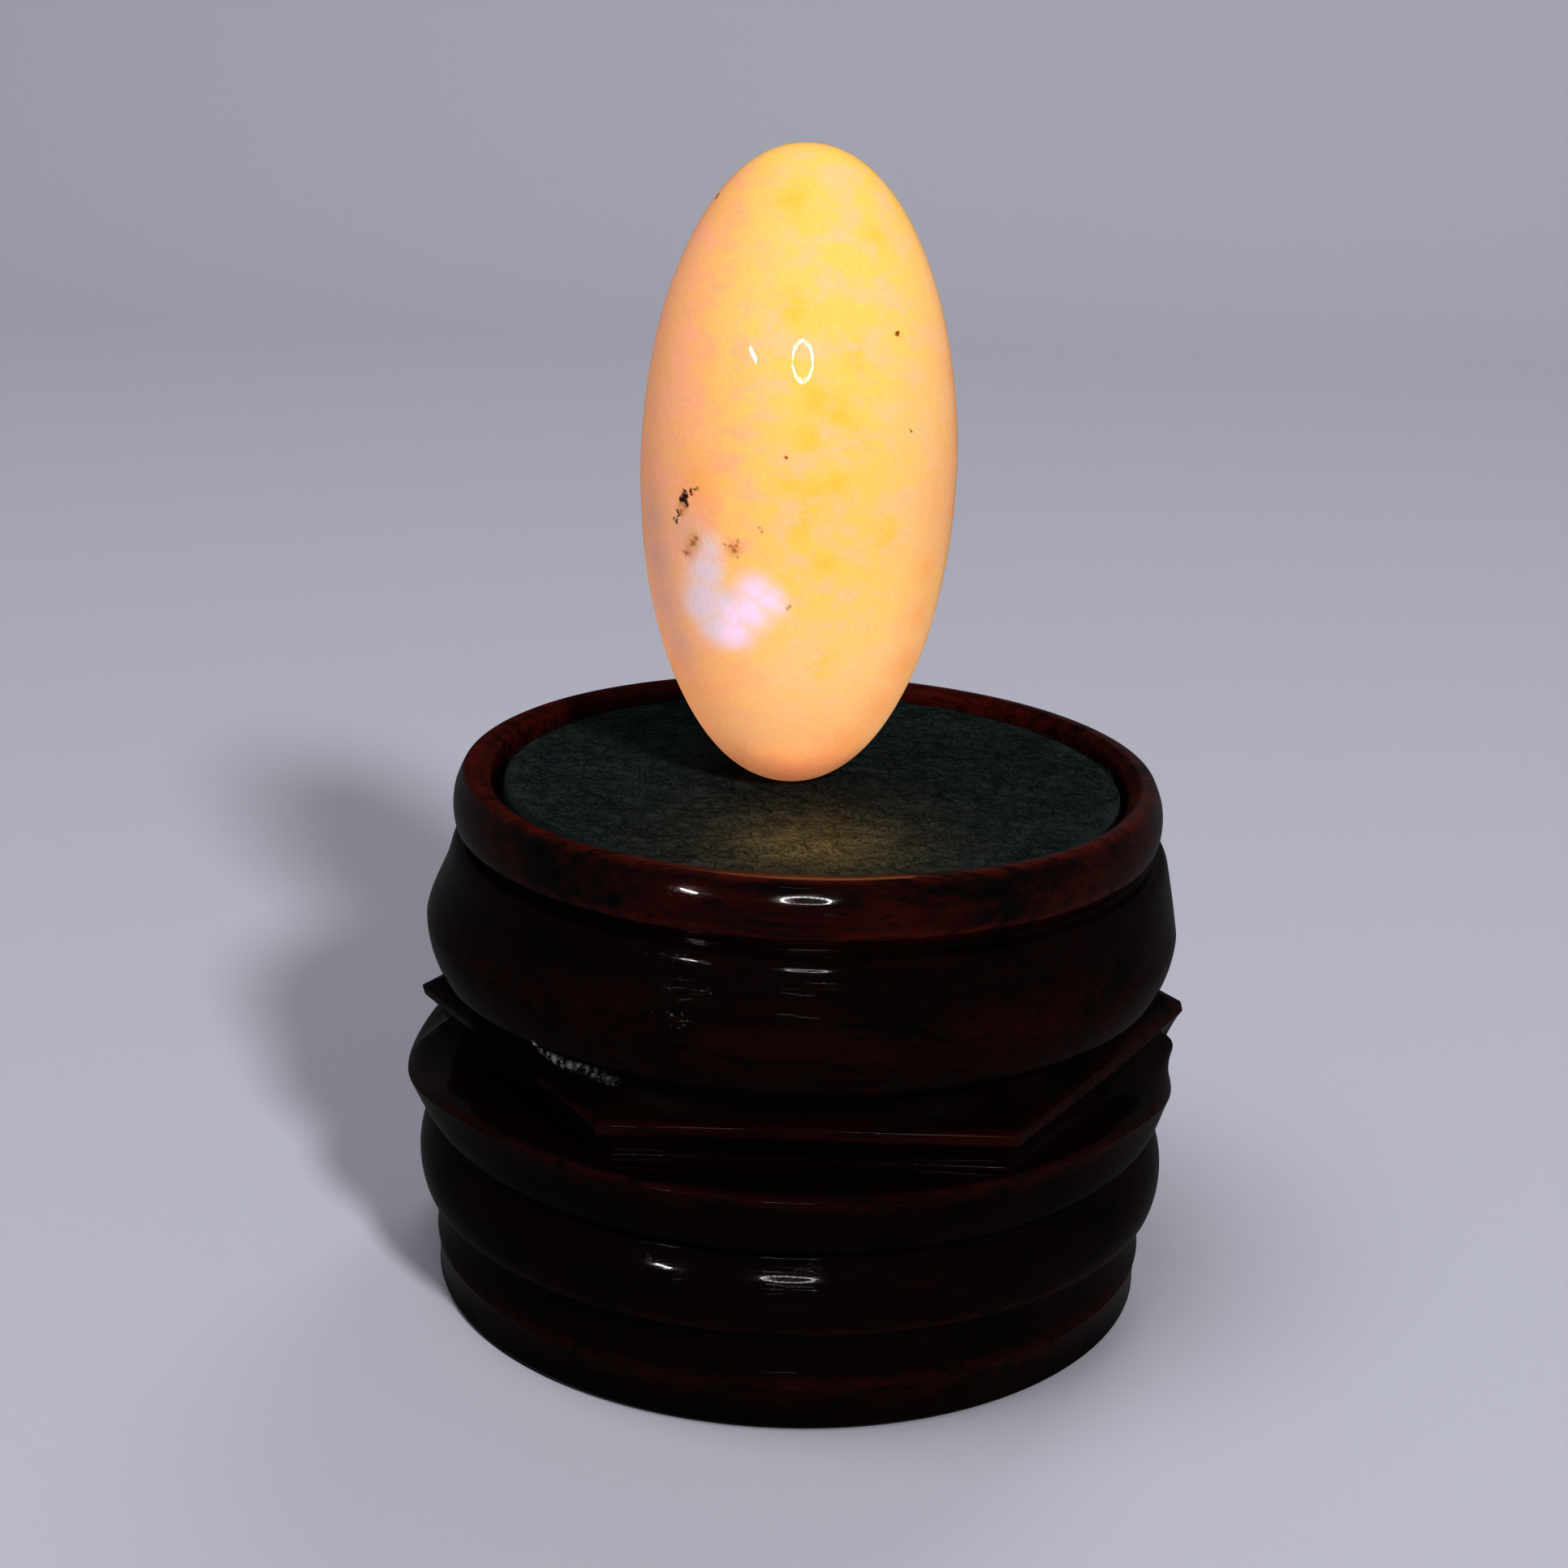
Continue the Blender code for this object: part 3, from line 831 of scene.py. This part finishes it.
def fibre_path():
    """The points of one fibre's run across the felt, in millimetres."""
    reach = (FELT_R - 0.15) * math.sqrt(draw.random())
    around = draw.uniform(0.0, math.tau)
    x, y = reach * math.cos(around), reach * math.sin(around)
    heading = draw.uniform(0.0, math.tau)
    curl = draw.uniform(-1.1, 1.1)
    step = draw.uniform(*FIBRE_LENGTH) / FIBRE_LINKS
    lift = draw.uniform(0.2, 1.0) * FIBRE_LIFT
    path = []
    for link in range(FIBRE_LINKS + 1):
        if math.hypot(x, y) > FELT_R + snip(math.atan2(y, x)):
            break
        over = math.sin(math.pi * link / FIBRE_LINKS)
        path.append(Vector((x + FELT_CENTRE, y, felt_height(x + FELT_CENTRE, y) + 0.01 + lift * over)))
        heading += curl * draw.uniform(0.2, 1.0)
        x += step * math.cos(heading)
        y += step * math.sin(heading)
    return path


def clear_of_stone(path):
    return all(stone_underside(point.x, point.y) > point.z + 0.05 for point in path)


def make_fibres():
    mat = bmesh.new()
    tone = mat.verts.layers.float.new("tone")
    for _ in range(FIBRES):
        path = fibre_path()
        if len(path) < 3 or not clear_of_stone(path):
            continue
        shade = draw.random()
        left, right = [], []
        for index, point in enumerate(path):
            ahead = path[min(index + 1, len(path) - 1)] - path[max(index - 1, 0)]
            side = Vector((-ahead.y, ahead.x, 0.0)).normalized() * FIBRE_WIDTH / 2
            for row, place in ((left, point + side), (right, point - side)):
                corner = mat.verts.new(place * MM)
                corner[tone] = shade
                row.append(corner)
        for index in range(len(path) - 1):
            mat.faces.new((left[index], right[index], right[index + 1], left[index + 1]))
    bpy.ops.object.select_all(action="DESELECT")
    mesh = bpy.data.meshes.new("felt_fibres")
    mat.to_mesh(mesh)
    mat.free()
    fibres = bpy.data.objects.new("felt_fibres", mesh)
    bpy.context.collection.objects.link(fibres)
    return fibres


fibres = make_fibres()
count(fibres)

# %% [markdown]
# Wool
#
# The felt is a blue-green so dark that it looks black beside the stone. Wool is never one colour,
# so patches of it are a little greyer and single fibres lighter or darker. It has no gloss, only
# the soft sheen of fibres seen edge on.

# %% Felt material
WOOL_DARK = (0.005, 0.0105, 0.0105)
WOOL = (0.0105, 0.020, 0.0205)
WOOL_LIGHT = (0.028, 0.043, 0.045)


def felt_material():
    paint = Paint("felt")
    place = paint.millimetres()
    patches = paint.cloud(place, 2.5, 3.0)
    tangle = paint.cloud(place, 0.12, 4.0, 0.7, 1.5)
    colour = paint.mix(paint.fade(patches, 0.3, 0.7), WOOL, WOOL_DARK)
    colour = paint.mix(paint.fade(tangle, 0.45, 0.75) * 0.5, colour, WOOL_LIGHT)
    return paint.finish({
        "Base Color": colour, "Roughness": 0.95, "Normal": paint.bump(tangle, 0.06),
        "Specular IOR Level": 0.1, "Sheen Weight": 0.05, "Sheen Roughness": 0.5,
    })


def fibre_material():
    paint = Paint("wool_fibre")
    tone = paint.node("Attribute", {"attribute_name": "tone"}, {}, "Fac")
    colour = paint.node("ValToRGB", {"stops": (
        (0.0, WOOL_DARK), (0.7, WOOL), (1.0, WOOL_LIGHT),
    )}, {"Fac": tone})
    return paint.finish({"Base Color": colour, "Roughness": 0.8, "Specular IOR Level": 0.1})


felt.data.materials.append(felt_material())
fibres.data.materials.append(fibre_material())
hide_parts("pad")
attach(felt, "root")
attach(fibres, "root")

# %% [markdown]
# Floor and backdrop
#
# A plain sheet of pale card runs under the stand and curves up behind it, the way a photographer's
# sweep does, so there is no hard line behind the object. It is kept out of the reflections, because
# its pale band in the lower half of each bead would hide the wood.

# %% Floor
SWEEP_HALF = 1.5
SWEEP_BACK = 0.30
SWEEP_CURVE = 0.25
SWEEP_TOP = 0.8
CARD = (0.42, 0.42, 0.47)


def make_sweep():
    bpy.ops.object.select_all(action="DESELECT")
    bpy.ops.mesh.primitive_plane_add(size=2 * SWEEP_HALF, location=(0, SWEEP_BACK - SWEEP_HALF, 0))
    sweep = bpy.context.object
    sweep.name = "sweep"
    sweep.data.transform(sweep.matrix_world)
    sweep.matrix_world = Matrix.Identity(4)
    bpy.ops.object.mode_set(mode="EDIT")
    bpy.ops.mesh.select_mode(type="EDGE")
    bpy.ops.mesh.select_all(action="DESELECT")
    edit = bmesh.from_edit_mesh(sweep.data)
    for edge in edit.edges:
        edge.select = all(corner.co.y > SWEEP_BACK - MM for corner in edge.verts)
    bmesh.update_edit_mesh(sweep.data)
    bends = 16
    for bend in range(bends):
        start, end = (math.pi / 2 * share / bends for share in (bend, bend + 1))
        step = (0.0, SWEEP_CURVE * (math.sin(end) - math.sin(start)),
                SWEEP_CURVE * (math.cos(start) - math.cos(end)))
        bpy.ops.mesh.extrude_region_move(TRANSFORM_OT_translate={"value": step})
    bpy.ops.mesh.extrude_region_move(TRANSFORM_OT_translate={"value": (0.0, 0.0, SWEEP_TOP)})
    bpy.ops.object.mode_set(mode="OBJECT")
    bpy.ops.object.shade_smooth()
    return sweep


def card_material():
    paint = Paint("pale_card")
    place = paint.millimetres()
    flecks = paint.cloud(place, 0.6, 3.0, 0.6)
    colour = paint.mix(flecks, tuple(0.97 * part for part in CARD), CARD)
    return paint.finish({"Base Color": colour, "Roughness": 0.85, "Specular IOR Level": 0.2})


sweep = make_sweep()
sweep.data.materials.append(card_material())
sweep.visible_glossy = False

# %% [markdown]
# Light
#
# A soft main light stands to the front right, a third of the way up, and throws the shadow back to
# the left. The soft lights are kept out of the reflections, or the black lacquer would fill with
# their shapes. The bright points come from little lamps instead. Each is placed backwards: the
# polished stone is used as a mirror to find where a lamp must stand to shine at a given point of the
# picture. A weak light from behind keeps the back from going dark.

# %% Lights
LIT_POINT = Vector((0.0, 0.0, 30.0)) * MM
# Name, bearing from the front (positive to the right), height in degrees, distance, size and power
SOFT_LIGHTS = (
    ("main_light", 25.5, 33, 0.75, 0.10, 4.2),
    ("overhead", -60, 72, 0.9, 0.6, 3.2),
    ("back_light", 160, 45, 0.8, 0.3, 1.5),
)
# Little lamps: how far off they stand, then size and power for those of the ring and of the left
GLINT_DISTANCE = 0.26
RING_LAMP = (0.0031, 0.0020)
LEFT_LAMP = (0.004, 0.008)
RING_LAMPS = 24
RING_CENTRE = (989, 445)
RING_HALF = (12.5, 25)
LEFT_GLINT = ((925, 431), (927, 435), (929, 439), (931, 443))
EMBER_PLACE = Vector((0.6, -10.0, 28.5)) * MM
EMBER_TILT = math.radians(-5)
EMBER_SIZE = 4 * MM
EMBER_POWER = 0.0012
EMBER_COLOUR = (1.0, 0.42, 0.12)
ROOM_COLOUR = (0.9, 0.92, 1.0, 1.0)
ROOM_STRENGTH = 0.06


def disk_lamp(name, place, turned, size, power):
    """A round lamp that shines down its own Z axis."""
    bpy.ops.object.light_add(type="AREA", location=place)
    light = bpy.context.object
    light.name = name
    light.rotation_euler = turned
    light.data.shape = "DISK"
    light.data.size = size
    light.data.energy = power
    return light


def soft_light(name, bearing, height, distance, size, power):
    """A lamp that points at the stone and lights it, but never shows in a reflection."""
    bearing, height = math.radians(bearing), math.radians(height)
    level = math.cos(height)
    aim = Vector((math.sin(bearing) * level, -math.cos(bearing) * level, math.sin(height)))
    turned = aim.to_track_quat("Z", "Y").to_euler()
    light = disk_lamp(name, LIT_POINT + aim * distance, turned, size, power)
    light.visible_glossy = False


def lamp_mirrored_at(name, across, down, size, power):
    """A small lamp whose reflection in the stone shows at a point of the picture.

    The ray of sight is turned back by the stone's polish, and the lamp goes where it leads.
    """
    point, face = surface_behind(stone, across, down)
    corners = [stone.data.vertices[index] for index in face.vertices]
    shares = poly_3d_calc([corner.co for corner in corners], point)
    outward = Vector()
    for corner, share in zip(corners, shares):
        outward += corner.normal * share
    way = sight(across, down).reflect(outward.normalized())
    turned = way.to_track_quat("Z", "Y").to_euler()
    light = disk_lamp(name, point + way * GLINT_DISTANCE, turned, size, power)
    light.visible_diffuse = False


for settings in SOFT_LIGHTS:
    soft_light(*settings)
for index in range(RING_LAMPS):
    around = math.tau * index / RING_LAMPS
    across = RING_CENTRE[0] + RING_HALF[0] * math.cos(around)
    down = RING_CENTRE[1] + RING_HALF[1] * math.sin(around)
    lamp_mirrored_at("ring_%02d" % index, across, down, *RING_LAMP)
for index, (across, down) in enumerate(LEFT_GLINT):
    lamp_mirrored_at("left_%d" % index, across, down, *LEFT_LAMP)

# A weak lamp low in front of the stone stands for the light that comes out of its foot
ember = disk_lamp("light_through_the_stone", EMBER_PLACE, (EMBER_TILT, 0.0, 0.0), EMBER_SIZE, EMBER_POWER)
ember.data.color = EMBER_COLOUR
ember.visible_camera = False
ember.visible_glossy = False

world = bpy.data.worlds.new("room")
bpy.context.scene.world = world
world.use_nodes = True
background = world.node_tree.nodes["Background"]
background.inputs["Color"].default_value = ROOM_COLOUR
background.inputs["Strength"].default_value = ROOM_STRENGTH
